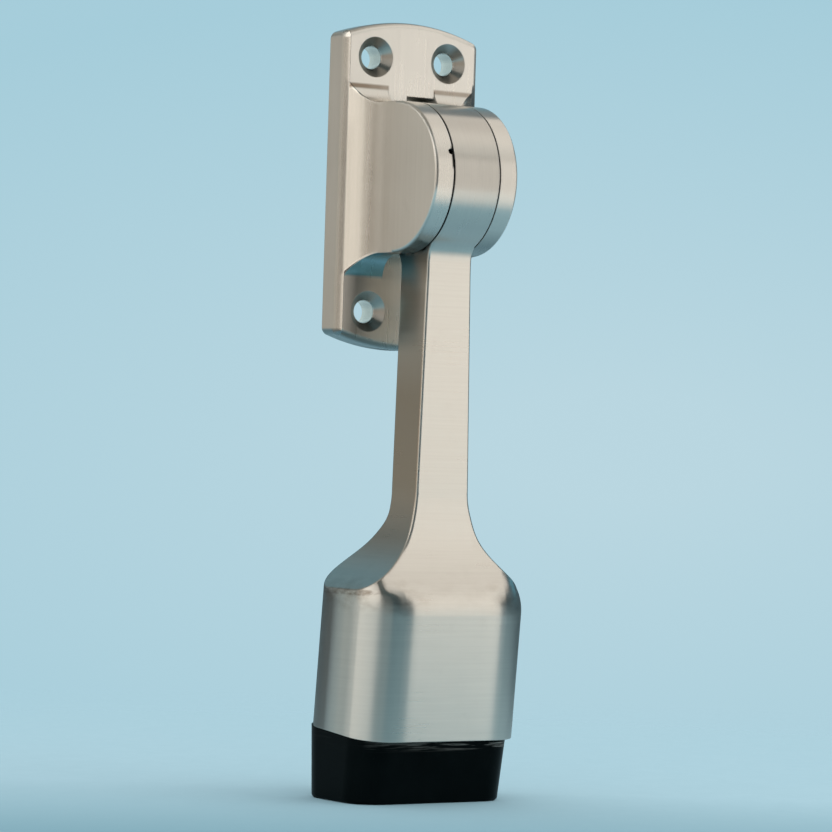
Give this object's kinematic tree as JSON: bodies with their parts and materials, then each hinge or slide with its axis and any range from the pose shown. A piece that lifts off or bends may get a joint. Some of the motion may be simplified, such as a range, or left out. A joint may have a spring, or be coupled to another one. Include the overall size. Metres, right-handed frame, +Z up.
{
  "type": "door mounted door stop",
  "caption": "Cast steel fold-down door stop: a screw-on plate with a forked hinge and a swinging arm that ends in a shoe with a rubber foot.",
  "frame": {"origin": "centre of the screw-hole pattern, on the back face of the plate", "axes": "+X across the door, +Y into the door, +Z up along the hanging arm"},
  "size_m": [0.0372, 0.0302, 0.1551],
  "materials": {
    "bracket_steel": "satin, brushed upright",
    "arm_steel": "satin, brushed across",
    "pin_steel": "ground",
    "spring_steel": "oiled spring steel",
    "foot_rubber": "satin moulded rubber"
  },
  "bodies": {
    "bracket_body": {"bracket": "bracket_steel", "pivot_pin": "pin_steel", "friction_spring": "spring_steel"},
    "arm_body": {"arm": "arm_steel", "rubber_foot": "foot_rubber"}
  },
  "joints": [
    {"name": "arm_hinge", "type": "hinge", "parent": "bracket_body", "child": "arm_body", "pos_m": [0, -0.0152, 0.0011], "axis": [-1, 0, 0], "range_deg": [0, 180]}
  ]
}
